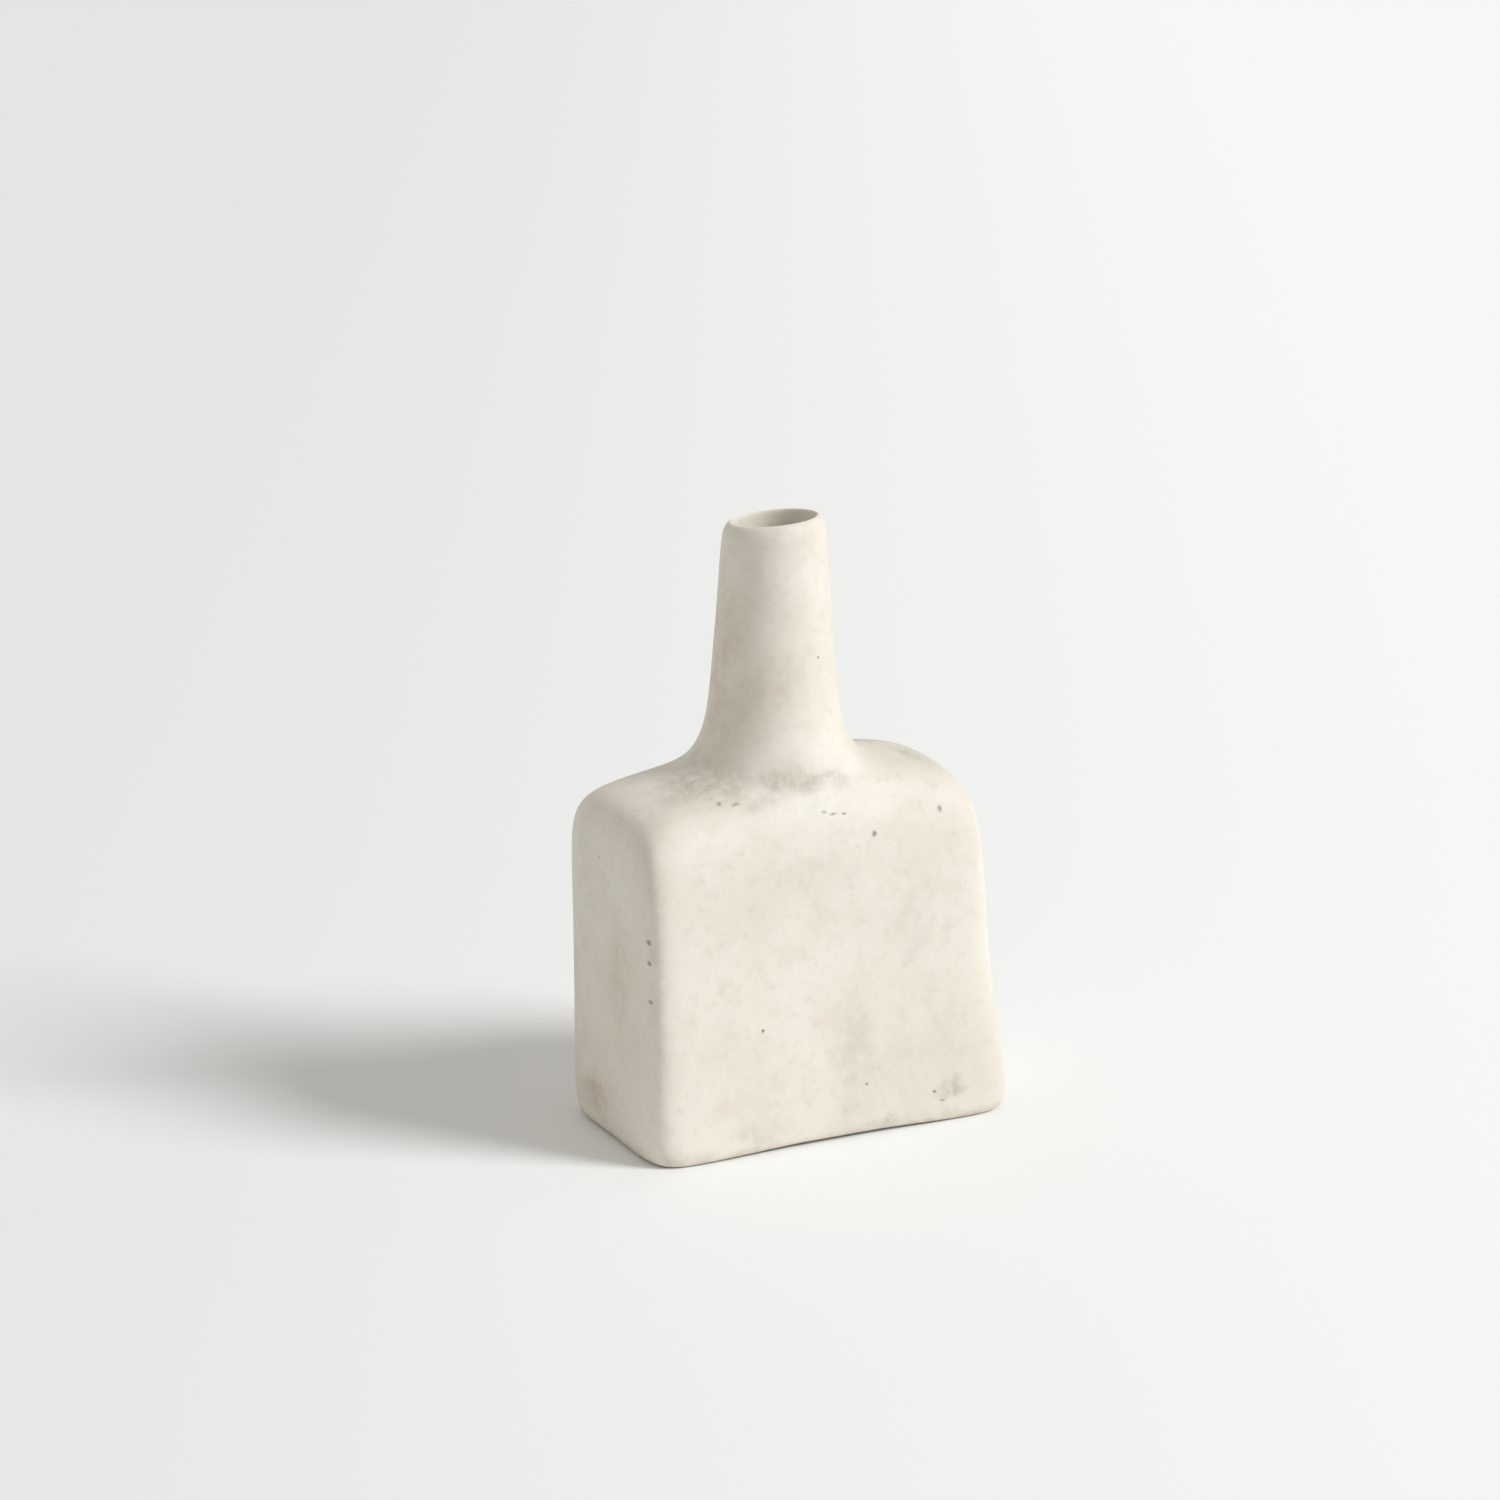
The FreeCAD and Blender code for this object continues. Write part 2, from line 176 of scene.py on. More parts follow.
def quarter_points(half_length, half_depth, corner, hollow, roundness):
    """Quarter outline from the end's middle round to the long side's middle.

    The hollow shows in full where the long side meets the corner and a third as much
    on the end, and fades to nothing at both middles.
    """
    corner = min(corner, half_depth * CORNER_LIMIT, half_length * CORNER_LIMIT)
    across, deep = half_length - corner, half_depth - corner
    square = (
        (half_length, 0.0),
        (half_length + hollow * 0.1, deep * 0.55),
        (half_length + hollow * 0.3, deep),
        (across + corner * CORNER_CAGE + hollow * 0.3, deep + corner * CORNER_CAGE + hollow),
        (across, half_depth + hollow),
        (across * 0.5, half_depth + hollow * 0.35),
        (0.0, half_depth),
    )
    points = []
    for index, (x, y) in enumerate(square):
        turn = index * math.pi / 2 / QUADRANT
        round_x = half_length * ROUND_GROWTH * math.cos(turn)
        round_y = half_depth * ROUND_GROWTH * math.sin(turn)
        points.append((x + (round_x - x) * roundness, y + (round_y - y) * roundness))
    return points


def square_level(row, inset=0.0):
    """(height, centre, quarter outline) in metres of a level given by its reaches."""
    height, left, right, depth, corner, hollow, roundness = row
    half = (right - left) / 2 - inset
    inner_corner = max(corner - inset, INNER_CORNER)
    outline = quarter_points(half, depth - inset, inner_corner, hollow, roundness)
    return height * MM, (left + right) / 2 * MM, [(x * MM, y * MM) for x, y in outline]


def round_level(row):
    """(height, centre, quarter outline) in metres of a circular level."""
    height, radius = row
    outline = quarter_points(radius, radius, radius, 0.0, 1.0)
    return height * MM, NECK_X, [(x * MM, y * MM) for x, y in outline]


def ring_groups(mesh, centre):
    """The selected ring's vertices in mirror sets, from the end to the long side."""
    ring = [v for v in mesh.verts if v.select]
    ring.sort(key=lambda v: math.atan2(v.co.y, v.co.x - centre) % (2 * math.pi))
    first = min(range(RING), key=lambda i: abs(ring[i].co.y) - (ring[i].co.x - centre))
    groups = [[] for _ in range(QUADRANT + 1)]
    for place in range(RING):
        step = place % (RING // 2)
        groups[min(step, RING // 2 - step)].append(ring[(first + place) % RING])
    return ring, groups


def lip_tilt(height):
    """Share of the mouth's lean that a ring at this height takes."""
    share = max(0.0, height - LIP_TILT_START) / (LIP - LIP_TILT_START)
    return share ** 2


def shape_ring(piece, height, old_centre, centre, outline, lean=0.0):
    """Slides the selected ring to its place, leans it and scales it to its outline."""
    mesh = bmesh.from_edit_mesh(piece.data)
    ring, groups = ring_groups(mesh, old_centre)
    lift = height - sum(vertex.co.z for vertex in ring) / RING
    bpy.ops.transform.translate(value=(centre - old_centre, 0, lift))
    if lean:
        for axis, tilt in (("Y", LIP_TILT_RIGHT), ("X", LIP_TILT_FRONT)):
            bpy.ops.transform.rotate(value=tilt * lean, orient_axis=axis,
                                     center_override=(centre, 0, height))
    for group, (x, y) in zip(groups, outline):
        for vertex in ring:
            vertex.select = False
        for vertex in group:
            vertex.select = True
        mesh.select_flush_mode()
        now_x = abs(group[0].co.x - centre)
        now_y = abs(group[0].co.y)
        grow = (x / now_x if x and now_x else 1, y / now_y if y and now_y else 1, 1)
        bpy.ops.transform.resize(value=grow, center_override=(centre, 0, height))
    for vertex in ring:
        vertex.select = True
    mesh.select_flush(True)


def pull_rings(name, levels):
    """A wall drawn up from a ring of points by extruding it from level to level."""
    deselect_all()
    height, centre, outline = levels[0]
    bpy.ops.mesh.primitive_circle_add(vertices=RING, radius=outline[0][0],
                                      location=(centre, 0, height))
    piece = bpy.context.object
    piece.name = piece.data.name = name
    bpy.ops.object.transform_apply(location=True, rotation=True, scale=True)
    bpy.ops.object.mode_set(mode="EDIT")
    bpy.ops.mesh.select_mode(type="VERT")
    shape_ring(piece, height, centre, centre, outline)
    old_centre, old_tilt = centre, lip_tilt(height)
    for height, centre, outline in levels[1:]:
        bpy.ops.mesh.extrude_edges_move()
        shape_ring(piece, height, old_centre, centre, outline, lip_tilt(height) - old_tilt)
        old_centre, old_tilt = centre, lip_tilt(height)
    bpy.ops.object.mode_set(mode="OBJECT")
    return piece


def select_boundary(piece):
    """Edit mode on the piece with only its open edges selected."""
    pick(piece)
    bpy.ops.object.mode_set(mode="EDIT")
    bpy.ops.mesh.select_mode(type="EDGE")
    bpy.ops.mesh.select_all(action="DESELECT")
    bpy.ops.mesh.select_non_manifold(extend=False, use_wire=False, use_boundary=True)


def smooth(piece, levels):
    modifier = piece.modifiers.new("rounding", "SUBSURF")
    modifier.levels = modifier.render_levels = levels
    apply_modifiers(piece)
    bpy.ops.object.shade_smooth()


def press_by_hand(piece):
    """Pushes the clay in and out a little in broad soft swells."""
    swells = bpy.data.textures.new("hand_pressure", "CLOUDS")
    swells.noise_scale = HAND_SPREAD
    swells.noise_depth = 1
    modifier = piece.modifiers.new("hand_pressure", "DISPLACE")
    modifier.texture = swells
    modifier.texture_coords = "LOCAL"
    modifier.strength = HAND_DEPTH
    modifier.mid_level = 0.5
    apply_modifiers(piece)


# ------------------------------------------------------------- clay shell


def inner_rows():
    """The outside's square levels again, from the neck seam down, for the inner face."""
    shoulder = [(row[0] - INNER_DROP, *row[1:]) for row in reversed(SHOULDER_LEVELS)]
    return shoulder + list(reversed(BODY_LEVELS[2:]))


def make_shell():
    """Walls, shoulder and neck as one hollow form, open under the floor slab."""
    levels = [square_level(row) for row in BODY_LEVELS + SHOULDER_LEVELS]
    levels += [round_level(row) for row in NECK_LEVELS + LIP_LEVELS]
    levels += [square_level(row, WALL / MM) for row in inner_rows()]
    centre, outline = square_level(BODY_LEVELS[1], WALL / MM)[1:]
    levels.append((INNER_FOOT * MM, centre, outline))
    shell = pull_rings("shell", levels)
    select_boundary(shell)
    bpy.ops.mesh.bridge_edge_loops()
    bpy.ops.mesh.select_all(action="SELECT")
    bpy.ops.mesh.normals_make_consistent(inside=False)
    bpy.ops.object.mode_set(mode="OBJECT")
    arch_foot(shell)
    smooth(shell, 3)
    press_by_hand(shell)
    return shell


def arch_foot(shell):
    """Lifts the middle of the long foot edges a hair off the table, as drying does."""
    pick(shell)
    bpy.ops.object.mode_set(mode="EDIT")
    bpy.ops.mesh.select_mode(type="VERT")
    bpy.ops.mesh.select_all(action="DESELECT")
    mesh = bmesh.from_edit_mesh(shell.data)
    for vertex in mesh.verts:
        vertex.select = vertex.co.z < FOOT_EDGE and abs(vertex.co.x) < ARCH_CROWN
    mesh.select_flush(True)
    bpy.ops.transform.translate(value=(0, 0, FOOT_ARCH), use_proportional_edit=True,
                                proportional_edit_falloff="SMOOTH",
                                proportional_size=ARCH_REACH)
    bpy.ops.object.mode_set(mode="OBJECT")


def cut_out(shell, name, cuts):
    """A copy of the shell, kept only on the positive side of each cut, and capped."""
    piece = shell.copy()
    piece.data = shell.data.copy()
    piece.name = piece.data.name = name
    bpy.context.collection.objects.link(piece)
    pick(piece)
    bpy.ops.object.mode_set(mode="EDIT")
    for place, normal in cuts:
        bpy.ops.mesh.select_all(action="SELECT")
        bpy.ops.mesh.bisect(plane_co=place, plane_no=normal, use_fill=True, clear_inner=True,
                            threshold=CUT_TOLERANCE)
    bpy.ops.object.mode_set(mode="OBJECT")
    keep_shading(piece, shell)
    return piece


def keep_shading(piece, shell):
    """Gives the piece the whole shell's normals, so that the luted joints don't show."""
    modifier = piece.modifiers.new("joint_smoothing", "DATA_TRANSFER")
    modifier.object = shell
    modifier.use_loop_data = True
    modifier.data_types_loops = {"CUSTOM_NORMAL"}
    modifier.loop_mapping = "POLYINTERP_NEAREST"
    apply_modifiers(piece)


def mitre(side_x, side_y):
    """Point and normal of a corner's joint plane; its positive side has the long wall."""
    foot, eave = BODY_LEVELS[3], BODY_LEVELS[-1]
    reach = 1 if side_x < 0 else 2
    low = Vector((foot[reach], side_y * foot[3], foot[0])) * MM
    high = Vector((eave[reach], side_y * eave[3], eave[0])) * MM
    normal = (high - low).cross(Vector((side_x, side_y, 0))).normalized()
    middle_of_long_wall = Vector((0, side_y * foot[3] * MM, 0))
    return low, normal if (middle_of_long_wall - low).dot(normal) > 0 else -normal


def cut_walls(shell):
    below = ((0, 0, EAVE), (0, 0, -1))
    pieces = {}
    for name, side_y in (("front_wall", -1), ("back_wall", 1)):
        cuts = [below, mitre(-1, side_y), mitre(1, side_y), ((0, 0, 0), (0, side_y, 0))]
        pieces[name] = cut_out(shell, f"{name}_clay", cuts)
    for name, side_x in (("left_end_wall", -1), ("right_end_wall", 1)):
        cuts = [below]
        for side_y in (-1, 1):
            place, normal = mitre(side_x, side_y)
            cuts.append((place, -normal))
        pieces[name] = cut_out(shell, f"{name}_clay", cuts)
    return pieces


def cut_shell(shell):
    pieces = cut_walls(shell)
    above_walls, below_neck = ((0, 0, EAVE), (0, 0, 1)), ((0, 0, NECK_SEAM), (0, 0, -1))
    pieces["shoulder_slab"] = cut_out(shell, "shoulder_clay", [above_walls, below_neck])
    pieces["neck"] = cut_out(shell, "neck_clay", [((0, 0, NECK_SEAM), (0, 0, 1))])
    bpy.data.objects.remove(shell)
    return pieces


def make_floor():
    """Floor slab let in between the walls, its top edge softened."""
    row = BODY_LEVELS[3]
    steps = [(FLOOR_LOW.z / MM + lift, inset) for lift, inset in FLOOR_UNDERSIDE]
    steps += [(FLOOR_HIGH.z / MM + lift, inset) for lift, inset in FLOOR_TOPSIDE]
    levels = [square_level((height, *row[1:]), WALL / MM + inset) for height, inset in steps]
    floor = pull_rings("floor_clay", levels)
    select_boundary(floor)
    bpy.ops.mesh.edge_face_add()
    bpy.ops.object.mode_set(mode="OBJECT")
    smooth(floor, 2)
    return floor


def make_lining():
    """Thin coat over the floor, the walls, the shoulder and the throat."""
    outer, inner = WALL / MM, (WALL + GLAZE) / MM
    coat = GLAZE / MM
    floor = FLOOR_HIGH.z / MM + LINING_LIFT
    foot = BODY_LEVELS[3]
    walls = [row for row in BODY_LEVELS if row[0] > floor + LINING_CLEARANCE]
    shoulder = [(row[0] - INNER_DROP, *row[1:]) for row in SHOULDER_LEVELS]
    throat = [row for row in reversed(LIP_LEVELS) if row[0] <= GLAZE_TOP]
    outside = [square_level((floor, *foot[1:]), outer + LINING_ROUNDING)]
    outside += [square_level(row, outer) for row in walls + shoulder]
    outside += [round_level(row) for row in throat]
    inside = [round_level((height, radius - coat)) for height, radius in reversed(throat)]
    inside += [square_level(row, inner) for row in reversed(walls + shoulder)]
    inside += [square_level((floor + coat, *foot[1:]), inner + LINING_ROUNDING)]
    lining = pull_rings("lining_glaze", outside + inside)
    select_boundary(lining)
    bpy.ops.mesh.edge_face_add()
    bpy.ops.mesh.select_all(action="SELECT")
    bpy.ops.mesh.normals_make_consistent(inside=False)
    bpy.ops.object.mode_set(mode="OBJECT")
    smooth(lining, 2)
    return lining


# --------------------------------------------------------------- materials

SMOOTH = {"interpolation_type": "SMOOTHSTEP"}
COLOURS = {"data_type": "RGBA"}
TIMES = {"operation": "MULTIPLY"}
DIVIDED = {"operation": "DIVIDE"}
PLUS = {"operation": "ADD"}
MINUS = {"operation": "SUBTRACT"}
LARGER = {"operation": "MAXIMUM"}
SCALED = {"operation": "SCALE"}
LENGTH = {"operation": "LENGTH"}
DOT = {"operation": "DOT_PRODUCT"}

# Marks on the clay in millimetres: centre, half sizes, strength.
# Smudges, and shade painted round the neck's root.
SMUDGES_AND_SHADE = (
    # Stain, and painted shade in the crease where the neck's front meets the shoulder.
    ((-2, -27, 121), (18, 10, 5), 0.6),
    ((-42, -4, 118), (12, 16, 5), 0.7),
    # Painted shade: the neck's shadow on the left shoulder.
    ((-35, -10, 120), (26, 26, 11), 0.6),
    # Painted shade: the neck's shaded side carried onto the shoulder in front of it.
    ((-17, -25, 123), (16, 10, 8), 0.5),
    ((31, 18, 118), (17, 13, 9), 0.8),
    ((40, -2, 117), (9, 12, 6), 0.5),
    # Painted shade on the left front of the shoulder, beside the neck.
    ((-24, -27, 117), (12, 6, 4), 0.45),
    ((42, -34, 12), (7, 5, 6), 0.7),
    ((5, -34, 32), (11, 5, 28), 0.26),
    ((18, -34, 4), (8, 5, 3.5), 0.5),
    ((-30, -34, 8), (16, 5, 6), 0.25),
    ((30, -34, 70), (14, 5, 18), 0.16),
    ((-8, -34, 92), (22, 5, 10), 0.14),
    ((24, 34, 60), (14, 6, 22), 0.3),
    ((-30, 34, 14), (18, 6, 9), 0.35),
    ((60, 6, 30), (8, 14, 16), 0.3),
    ((-8, 26, 121), (16, 9, 4), 0.6),
)
# Blushes, and painted shade on the neck's shaded side.
BLUSHES_AND_SHADE = (
    ((-67, 10, 13), (7, 14, 10), 0.6),
    ((-67, -8, 60), (6, 12, 30), 0.3),
    ((-58, 34, 40), (14, 6, 20), 0.35),
    ((30, 34, 96), (20, 6, 12), 0.3),
    ((-14, -16, 150), (12, 10, 22), 0.25),
    # Painted shade with a brownish tint on the neck's shaded left side.
    ((-26, 2, 158), (14, 24, 52), 0.36),
)
PITS = (
    ((-66, -29, 77), (2.0, 1.5, 1.2), 0.9),
    ((-66, -29, 70), (2.0, 1.5, 1.0), 0.8),
    ((-66, -29.5, 57), (2.0, 1.5, 1.0), 0.8),
    ((-68, 5, 96), (1.4, 1.0, 0.8), 0.7),
    ((-28, -34, 42.5), (0.9, 2.5, 0.9), 0.9),
    ((13, -33, 103), (1.3, 4.0, 1.6), 1.0),
    ((10, -34, 18), (0.7, 2.5, 0.6), 0.8),
    ((35, -34, 11.5), (1.0, 2.5, 0.7), 0.9),
    ((38, -34, 8), (1.6, 2.5, 0.5), 0.8),
    ((-4, -31, 112), (1.8, 3.0, 0.7), 0.9),
    ((-1, -31, 111), (2.2, 3.0, 0.5), 0.8),
    ((3, -31, 110.5), (1.3, 3.0, 0.6), 0.9),
    ((38, -31, 107.5), (1.1, 3.5, 1.6), 0.8),
    ((-38, -22, 117), (1.4, 1.4, 1.2), 0.8),
    ((-33, -24, 117), (2.2, 1.0, 1.2), 0.6),
    ((20, 34, 88), (1.0, 3.0, 1.0), 0.9),
    ((-12, 34, 30), (1.2, 3.0, 0.8), 0.8),
)

# Soft patches of colour: size in mm, detail and roughness of the noise, the noise value
# at which a patch is full, the share of its colour there, and that colour.
WARM_CLOUD = (11, 3.0, 0.5, 0.75, 0.35, "#dccbbe")
COOL_CLOUD = (9, 3.0, 0.5, 0.75, 0.26, "#cdccb9")
MOTTLE = (3.5, 4.0, 0.62, 0.8, 0.3, "#c3b9a7")

# Shares of a mark's and a speck's radius that are at full strength, and how softly the
# cells that have a speck are picked out.
MARK_CORE = 0.15
SPECK_CORE = 0.4
SPECK_CHOICE = 0.02

# Shares of their colours in grit and pits, how high the foot is worn, and how far the
# painted light falloff on the paper reaches to each side.
GRIT_STRENGTH = 0.45
PIT_STRENGTH = 0.8
WORN_HEIGHT = 5 * MM
FALLOFF_REACH = 380 * MM


def linear(hex_colour):
    """An sRGB hex colour as the linear values that shaders take."""
    shares = [int(hex_colour[i:i + 2], 16) / 255 for i in (1, 3, 5)]
    light = [s / 12.92 if s <= 0.04045 else ((s + 0.055) / 1.055) ** 2.4 for s in shares]
    return (*light, 1.0)


def add(tree, kind, settings=None, **inputs):
    """A node with its settings; an input is a value, a socket or the node that gives it.

    An input is named by its label, or by its number, as in _6 for the seventh.
    """
    node = tree.nodes.new("ShaderNode" + kind)
    for name, value in (settings or {}).items():
        setattr(node, name, value)
    for name, value in inputs.items():
        key = int(name[1:]) if name[0] == "_" else name.replace("_", " ")
        if isinstance(value, bpy.types.Node):
            value = next(socket for socket in value.outputs if socket.enabled)
        if isinstance(value, bpy.types.NodeSocket):
            tree.links.new(value, node.inputs[key])
        else:
            node.inputs[key].default_value = value
    return node


def per_mm(size):
    """Noise scale that gives features of this many millimetres."""
    return 1 / (size * MM)


def new_material(name):
    """An empty material, its node tree and the place on the piece that patterns read."""
    material = bpy.data.materials.new(name)
    material.use_nodes = True
    tree = material.node_tree
    tree.nodes.clear()
    return material, tree, add(tree, "TexCoord").outputs["Object"]


def finish(tree, **values):
    surface = add(tree, "BsdfPrincipled", **values)
    add(tree, "OutputMaterial", Surface=surface)


def shaken(tree, place, size, distance):
    """The place moved about by a noise, both in mm, so that marks get ragged edges."""
    drift = add(tree, "TexNoise", Vector=place, Scale=per_mm(size), Detail=3.0)
    centred = add(tree, "VectorMath", MINUS, _0=drift.outputs["Color"], _1=(0.5, 0.5, 0.5))
    moved = add(tree, "VectorMath", SCALED, _0=centred, Scale=distance * MM)
    return add(tree, "VectorMath", PLUS, _0=place, _1=moved)


def marks(tree, place, places):
    """The strongest of several soft marks: full strength in the middle of each, 0 outside."""
    total = None
    for centre, size, strength in places:
        offset = add(tree, "VectorMath", MINUS, _0=place, _1=Vector(centre) * MM)
        shares = add(tree, "VectorMath", DIVIDED, _0=offset, _1=Vector(size) * MM)
        reach = add(tree, "VectorMath", LENGTH, _0=shares)
        core = add(tree, "MapRange", SMOOTH, Value=reach, From_Min=1.0, From_Max=MARK_CORE)
        mark = add(tree, "Math", TIMES, _0=core, _1=strength)
        total = add(tree, "Math", LARGER, _0=total, _1=mark) if total else mark
    return total


def specks(tree, place, spacing, radius, share):
    """Scattered round specks in a share of the cells; spacing and radius are in mm."""
    reach = radius / spacing
    cell = add(tree, "TexVoronoi", Vector=place, Scale=per_mm(spacing))
    inside = add(tree, "MapRange", SMOOTH, Value=cell, From_Min=reach, From_Max=reach * SPECK_CORE)
    chosen = add(tree, "MapRange", SMOOTH, Value=cell.outputs["Color"], From_Min=1 - share,
                 From_Max=1 - share + SPECK_CHOICE)
    return add(tree, "Math", TIMES, _0=inside, _1=chosen)


def tinted(tree, colour, hex_colour, share, patchy):
    """The colour carried towards a mark's colour, by a share that comes in patches."""
    product = add(tree, "Math", TIMES, _0=share, _1=patchy)
    return add(tree, "Mix", COLOURS, Factor=product, _6=colour, _7=linear(hex_colour))


def clouded(tree, colour, place, cloud):
    """The colour with soft patches of another one laid over it."""
    size, detail, rough, full, share, hex_colour = cloud
    noise = add(tree, "TexNoise", Vector=place, Scale=per_mm(size), Detail=detail, Roughness=rough)
    patch = add(tree, "MapRange", SMOOTH, Value=noise, From_Min=0.5, From_Max=full, To_Max=share)
    return add(tree, "Mix", COLOURS, Factor=patch, _6=colour, _7=linear(hex_colour))


def clay_colour(tree, place, pits, grit):
    """Cream body with warm and cool clouds, smudges, blushes, dark pits, and painted shade at the
    neck.
    """
    body = add(tree, "TexNoise", Vector=place, Scale=per_mm(45), Detail=3.0)
    drift = add(tree, "MapRange", SMOOTH, Value=body, From_Min=0.3, From_Max=0.7)
    colour = add(tree, "Mix", COLOURS, Factor=drift, _6=linear("#e7e1d4"), _7=linear("#dfd8ca"))
    colour = clouded(tree, colour, shaken(tree, place, size=30, distance=20), WARM_CLOUD)
    colour = clouded(tree, colour, shaken(tree, place, size=24, distance=30), COOL_CLOUD)
    colour = clouded(tree, colour, place, MOTTLE)
    ragged = shaken(tree, place, size=8, distance=9)
    patch_noise = add(tree, "TexNoise", Vector=place, Scale=per_mm(4.5), Detail=4.0, Roughness=0.65)
    patchy = add(tree, "MapRange", SMOOTH, Value=patch_noise, From_Min=0.3, From_Max=0.68, To_Min=0.25)
    # Smudges with painted shade round the neck's root, then blushes with painted shade on the
    # neck's left side.
    colour = tinted(tree, colour, "#a19b88", marks(tree, ragged, SMUDGES_AND_SHADE), patchy)
    colour = tinted(tree, colour, "#bca285", marks(tree, ragged, BLUSHES_AND_SHADE), patchy)
    height = add(tree, "SeparateXYZ", Vector=ragged).outputs["Z"]
    low = add(tree, "MapRange", SMOOTH, Value=height, From_Min=WORN_HEIGHT, From_Max=0.0,
              To_Max=0.5)
    colour = tinted(tree, colour, "#ac9b82", low, patchy)
    colour = tinted(tree, colour, "#b3a68e", grit, GRIT_STRENGTH)
    return tinted(tree, colour, "#6a5c4a", pits, PIT_STRENGTH)


def clay_relief(tree, place, pits, grit):
    """Surface height: soft hollows, a fine mottle, and the pits and grit sunk into it.

    Real bisque tooth is nearer 0.1 mm; the last grain is 0.5 mm, so that it shows.
    """
    hollows = add(tree, "TexNoise", Vector=place, Scale=per_mm(14), Detail=2.0)
    tooled = add(tree, "TexNoise", Vector=place, Scale=per_mm(2.4), Detail=4.0, Roughness=0.6)
    height = add(tree, "Math", PLUS, _0=add(tree, "Math", TIMES, _0=hollows, _1=9.0), _1=tooled)
    for sunk, depth in ((pits, 6.0), (grit, 0.5)):
        height = add(tree, "Math", MINUS, _0=height, _1=add(tree, "Math", TIMES, _0=sunk, _1=depth))
    coarse = add(tree, "Bump", Strength=1.0, Distance=0.06 * MM, Height=height)
    grain = add(tree, "TexNoise", Vector=place, Scale=per_mm(0.5), Detail=2.0)
    return add(tree, "Bump", Strength=0.5, Distance=0.02 * MM, Height=grain, Normal=coarse)


def bisque_clay():
    """White stoneware, burnished damp and fired without a glaze: matte, chalky, a bit soiled.

    Clouds of 45, 11 and 9 mm give the cream its warm and cool drift, and a 3.5 mm mottle
    and grit give its earthy tooth. Real grit is about 0.2 mm across; it is drawn at 0.4
    to 0.7 mm, so that it shows. The bumps are shallow, so light rolls softly over the
    faces, and a faint sheen pales the edges.
    """
    material, tree, place = new_material("bisque_stoneware")
    ragged = shaken(tree, place, size=0.9, distance=1.1)
    pits = add(tree, "Math", LARGER, _0=marks(tree, ragged, PITS),
               _1=specks(tree, ragged, spacing=9, radius=0.45, share=0.12))
    grit = add(tree, "Math", LARGER, _0=specks(tree, place, spacing=1.6, radius=0.22, share=0.3),
               _1=specks(tree, place, spacing=4, radius=0.35, share=0.25))
    burnish = add(tree, "TexNoise", Vector=place, Scale=per_mm(6), Detail=3.0)
    roughness = add(tree, "MapRange", SMOOTH, Value=burnish, From_Min=0.3, From_Max=0.7,
                    To_Min=0.56, To_Max=0.7)
    finish(tree, Base_Color=clay_colour(tree, place, pits, grit), Roughness=roughness, IOR=1.48,
           Normal=clay_relief(tree, place, pits, grit), Sheen_Weight=0.12, Sheen_Roughness=0.5)
    return material


def clear_glaze():
    """Thin clear glaze poured round the inside of white clay: smooth, softly glossy.

    It pools over 25 mm, where the clay shows through a little deeper and the face ripples.
    """
    material, tree, place = new_material("clear_liner_glaze")
    pool = add(tree, "TexNoise", Vector=place, Scale=per_mm(25), Detail=2.0)
    colour = add(tree, "Mix", COLOURS, Factor=pool, _6=linear("#e9e2cf"), _7=linear("#e2d8c2"))
    ripple = add(tree, "Bump", Strength=0.1, Distance=0.1 * MM, Height=pool)
    finish(tree, Base_Color=colour, Roughness=0.22, IOR=1.5, Normal=ripple)
    return material


def studio_paper():
    """Matte white background paper, with painted light falloff: darker to the left of the view.

    Its fibres are finer than 0.1 mm; clumps of 2 mm stand for them, so that they show.
    """
    material, tree, place = new_material("pale_paper")
    fibre = add(tree, "TexNoise", Vector=place, Scale=per_mm(2), Detail=2.0)
    tooth = add(tree, "Bump", Strength=0.05, Distance=0.05 * MM, Height=fibre)
    # Painted light: the paper darkens towards the left of the view, as if lit from the right.
    to_the_right = (math.cos(VIEW_AZIMUTH), math.sin(VIEW_AZIMUTH), 0)
    across = add(tree, "VectorMath", DOT, _0=place, _1=to_the_right)
    painted_falloff = add(tree, "MapRange", SMOOTH, Value=across, From_Min=FALLOFF_REACH, From_Max=-FALLOFF_REACH)
    colour = add(tree, "Mix", COLOURS, Factor=painted_falloff, _6=linear("#fdfdfb"), _7=linear("#e9e9e8"))
    finish(tree, Base_Color=colour, Roughness=0.9, Normal=tooth)
    return material


# ------------------------------------------------------------------- stage

VIEW_AZIMUTH = math.radians(-26.49)
VIEW_ELEVATION = math.radians(16.73)
VIEW_DISTANCE = 1649.0 * MM
VIEW_AIM = Vector((-9.65, 11.95, 122.35)) * MM
LENS, SENSOR = 121.1, 36.0
ROOM_STRENGTH = 0.405
PAPER_SIZE = 12.0


def towards(azimuth, elevation):
    """Direction from the vase to something seen at these angles; 0 is in front of it."""
    flat = math.cos(elevation)
    return Vector((math.sin(azimuth) * flat, -math.cos(azimuth) * flat, math.sin(elevation)))


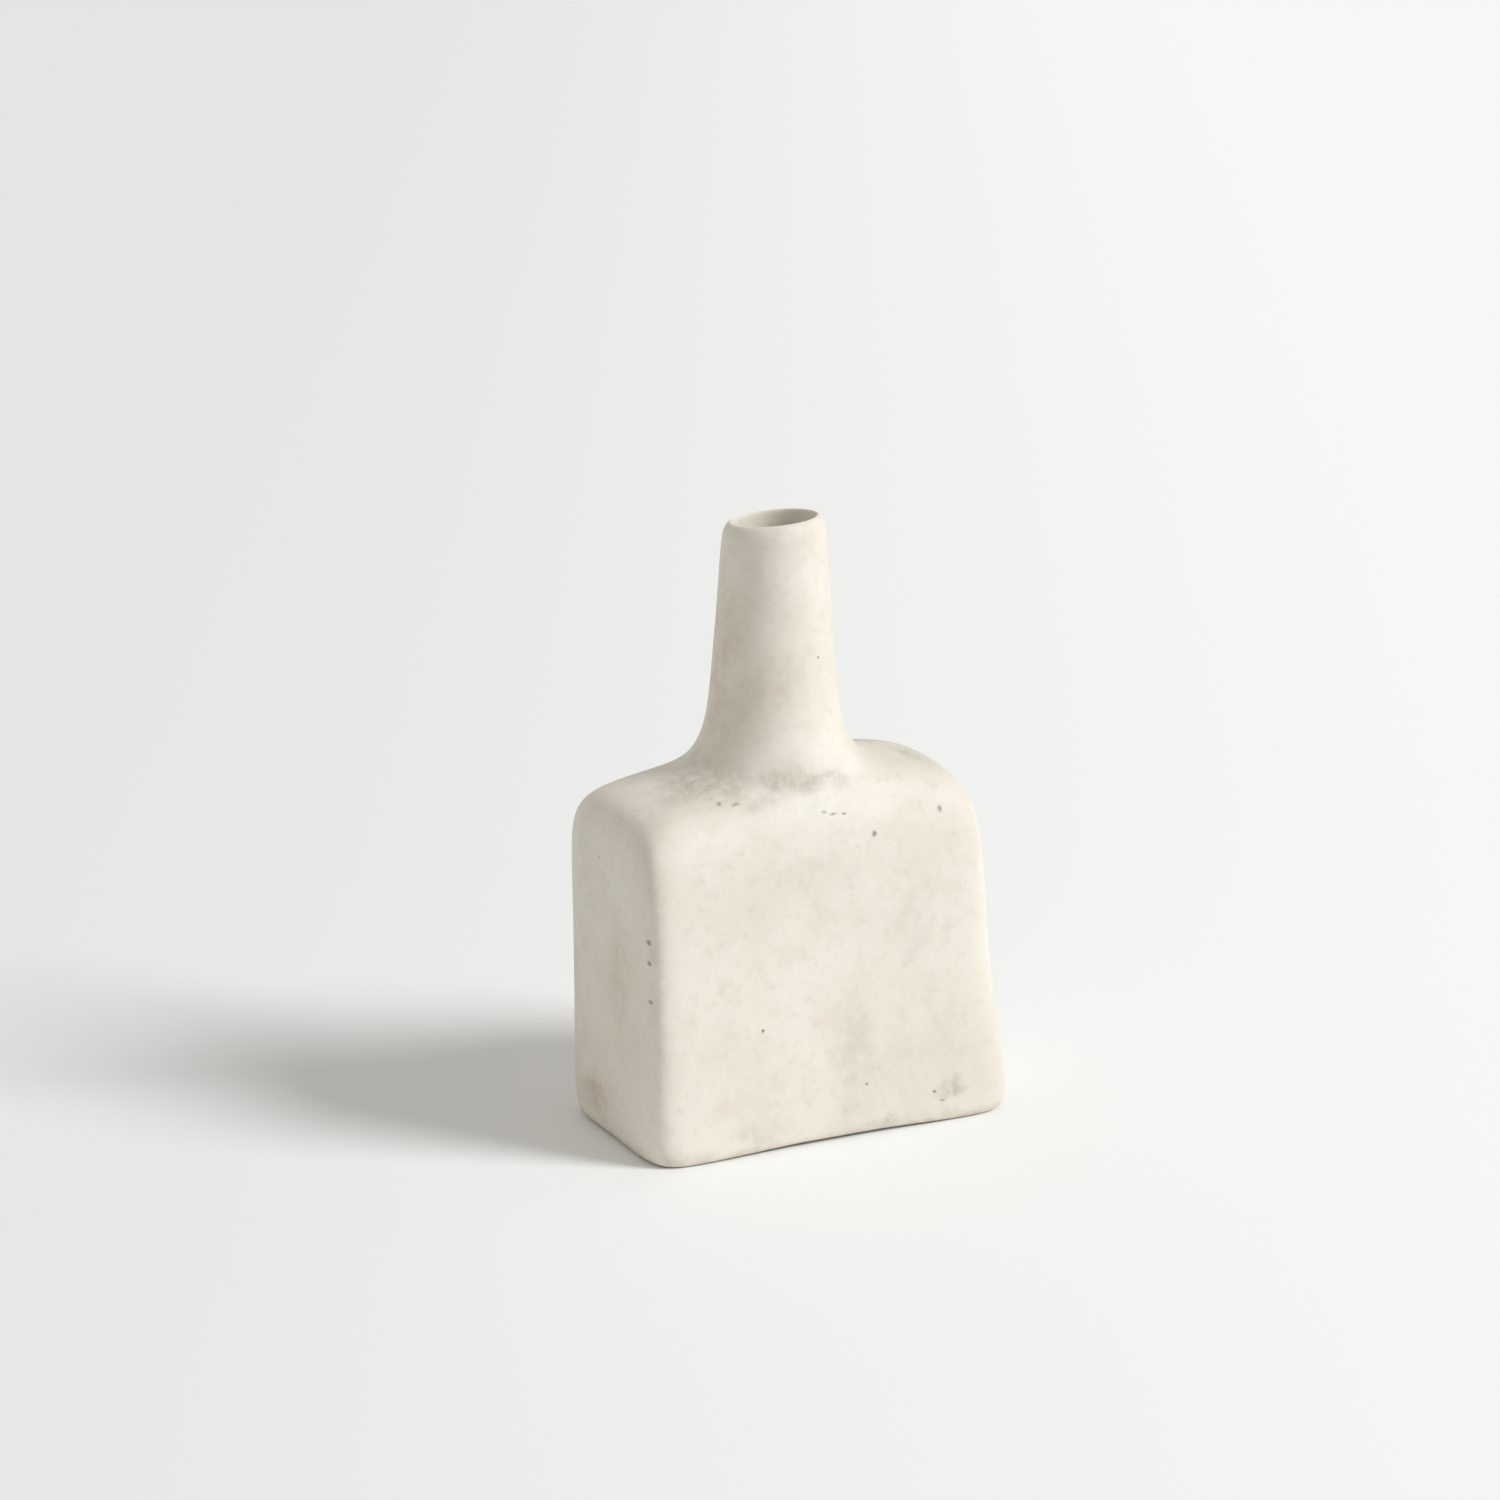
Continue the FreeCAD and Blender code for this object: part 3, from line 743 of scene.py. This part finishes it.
def add_camera():
    data = bpy.data.cameras.new("camera")
    data.lens, data.sensor_width = LENS, SENSOR
    camera = bpy.data.objects.new("camera", data)
    bpy.context.collection.objects.link(camera)
    back = towards(VIEW_AZIMUTH, VIEW_ELEVATION)
    camera.location = VIEW_AIM + back * VIEW_DISTANCE
    camera.rotation_euler = (-back).to_track_quat("-Z", "Y").to_euler()
    bpy.context.scene.camera = camera


def add_floor_sheet():
    deselect_all()
    bpy.ops.mesh.primitive_plane_add(size=PAPER_SIZE)
    sheet = bpy.context.object
    sheet.name = "paper"
    sheet.data.materials.append(studio_paper())


def add_lamp(name, colour, strength, azimuth, elevation, spread):
    """A far, soft lamp turned towards the vase; its angles are in degrees."""
    data = bpy.data.lights.new(name, "SUN")
    data.energy, data.color = strength, linear(colour)[:3]
    data.angle = math.radians(spread)
    lamp = bpy.data.objects.new(name, data)
    bpy.context.collection.objects.link(lamp)
    way = towards(math.radians(azimuth), math.radians(elevation))
    lamp.rotation_euler = (-way).to_track_quat("-Z", "Y").to_euler()


def add_room_light():
    world = bpy.data.worlds.new("studio")
    world.use_nodes = True
    background = world.node_tree.nodes["Background"]
    background.inputs["Color"].default_value = linear("#fffdf9")
    background.inputs["Strength"].default_value = ROOM_STRENGTH
    bpy.context.scene.world = world


def build_stage():
    bpy.context.scene.view_settings.view_transform = "Standard"
    add_camera()
    add_floor_sheet()
    add_room_light()
    add_lamp("window", "#f8fbff", strength=2.6, azimuth=46, elevation=36, spread=22)
    add_lamp("far_wall", "#fffdf8", strength=0.52, azimuth=-150, elevation=35, spread=110)


# ---------------------------------------------------------------- assembly


def fit(piece, node, material):
    """Dresses a finished piece and puts it in its node's place."""
    piece.data.materials.clear()
    piece.data.materials.append(material)
    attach(piece, "root")
    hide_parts(node)


def main():
    clay, glaze = bisque_clay(), clear_glaze()
    pieces = cut_shell(make_shell())
    pieces["floor_slab"] = make_floor()
    for node, piece in pieces.items():
        fit(piece, node, clay)
    fit(make_lining(), "liner_glaze", glaze)
    build_stage()


main()
